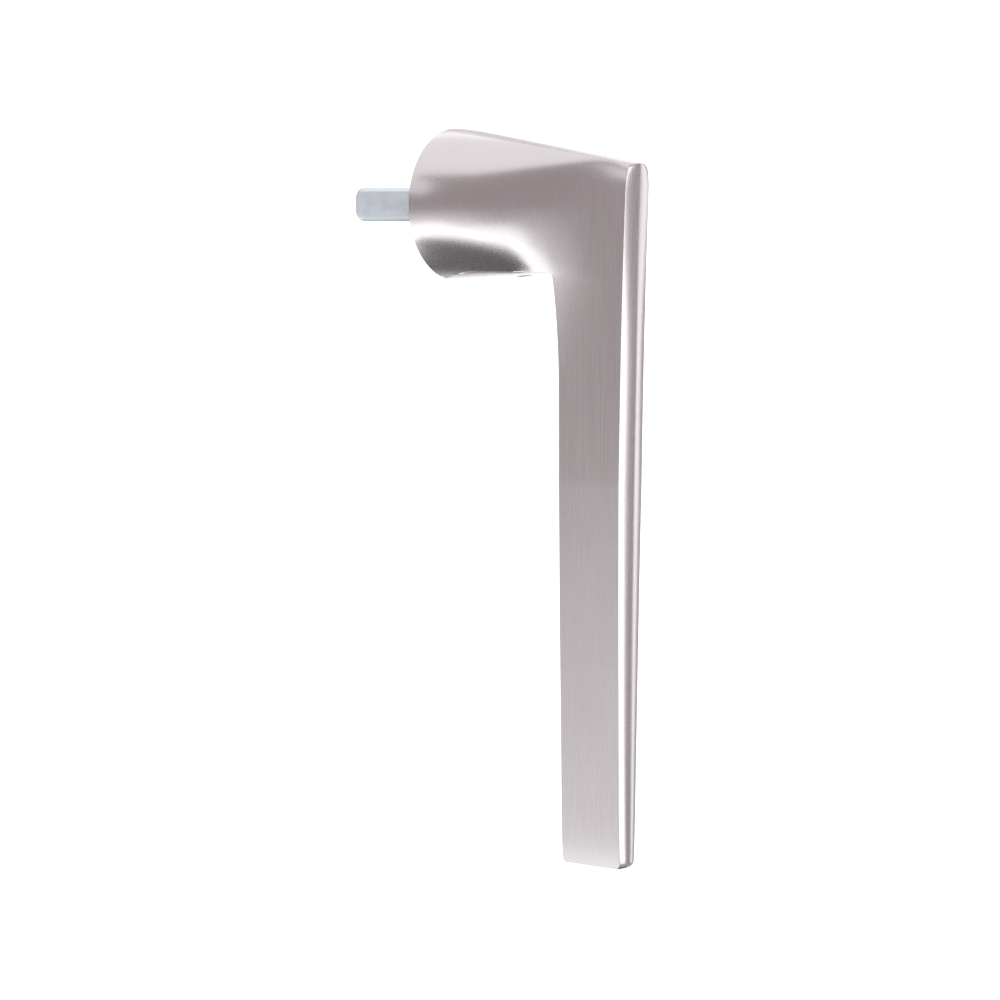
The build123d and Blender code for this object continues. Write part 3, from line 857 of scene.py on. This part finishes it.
def sheet(name, rows, material):
    """A smooth sheet through pairs of points, part of the set."""
    mesh = bpy.data.meshes.new(name)
    bm = bmesh.new()
    pairs = [[bm.verts.new(point) for point in row] for row in rows]
    for one, two in zip(pairs, pairs[1:]):
        bm.faces.new((one[0], one[1], two[1], two[0]))
    bmesh.ops.recalc_face_normals(bm, faces=bm.faces)
    bm.to_mesh(mesh)
    bm.free()
    mesh.shade_smooth()
    mesh.materials.append(material)
    piece = bpy.data.objects.new(name, mesh)
    scene.collection.objects.link(piece)
    return piece


sheet("floor", [[toward * reach + across * side + Vector((0, 0, FLOOR_Z)) for side in (-2.5, 2.5)]
                for reach in (2.0, -1.6)], plain("pale_paper", "#d6d6d6", 0.9))
lit = plain("lit_paper", "#ffffff", 1.0)
glowing = lit.node_tree.nodes["Principled BSDF"]
glowing.inputs["Emission Color"].default_value = srgb("#ffffff")
glowing.inputs["Emission Strength"].default_value = 0.9
sheet("backdrop", [[toward * -1.3 + across * side + Vector((0, 0, height)) for side in (-0.75, 0.75)]
                   for height in (FLOOR_Z, 0.38)], lit)

# a grey card under the handle that only its reflections see
flag = sheet("flag", [[Vector((side, reach, FLOOR_Z + 0.05)) for side in (-0.55, 0.5)]
                      for reach in (-0.35, 0.56)], plain("grey_card", "#6c6c6c", 0.9))
flag.visible_camera = False
flag.visible_shadow = False
flag.visible_diffuse = False


def panel(name, place, aim, width, height, glow):
    """A soft light panel turned to face a point, as bright all over as glow says."""
    data = bpy.data.lights.new(name, "AREA")
    data.shape = "RECTANGLE"
    data.size = width
    data.size_y = height
    data.energy = glow * math.pi * width * height
    light = bpy.data.objects.new(name, data)
    light.location = place
    light.rotation_euler = (Vector(aim) - Vector(place)).to_track_quat("-Z", "Y").to_euler()
    light.visible_camera = False
    scene.collection.objects.link(light)
    return light


def around(turn, reach, height):
    """A place at a turn about the spindle axis's foot, counted from +X towards +Y."""
    return Vector((reach * math.cos(math.radians(turn)), reach * math.sin(math.radians(turn)), height))


panel("panel_above", (0, 0.35, 0.9), (0, 0.35, 0), 2.0, 1.9, 0.76)
panel("panel_front", around(-80, 0.9, -0.02), (0, 0, -0.05), 0.5, 0.8, 1.9)
panel("panel_right", around(-22.5, 0.9, -0.02), (0, 0, -0.05), 0.24, 0.8, 1.3)
for name, turn in (("low_left", 195), ("low_behind", 150), ("low_right", 105)):
    panel(name, around(turn, 0.985, -0.588), around(turn, 0.457, 1.34), 0.8, 0.55, 1.38)
panel("low_near", (-0.13, 0.65, -0.6), (-0.13, 0.65, 0), 0.38, 0.38, 0.7)
panel("fill_high", around(139, 1.3, 0.54), (0, 0, 0), 0.9, 0.48, 0.62)
panel("fill_far", around(38, 1.3, 0.85), (0, 0, 0), 1.3, 0.8, 0.4)
panel("fill_left", around(150, 1.1, -0.35), (0, 0, -0.04), 1.4, 0.3, 0.42)
panel("fill_behind", around(103, 1.1, 0.05), (0, 0, 0), 0.55, 0.6, 0.75)
world = bpy.data.worlds.new("studio")
world.use_nodes = True
world.node_tree.nodes["Background"].inputs["Color"].default_value = srgb("#b5a9ab")
world.node_tree.nodes["Background"].inputs["Strength"].default_value = 0.95
scene.world = world
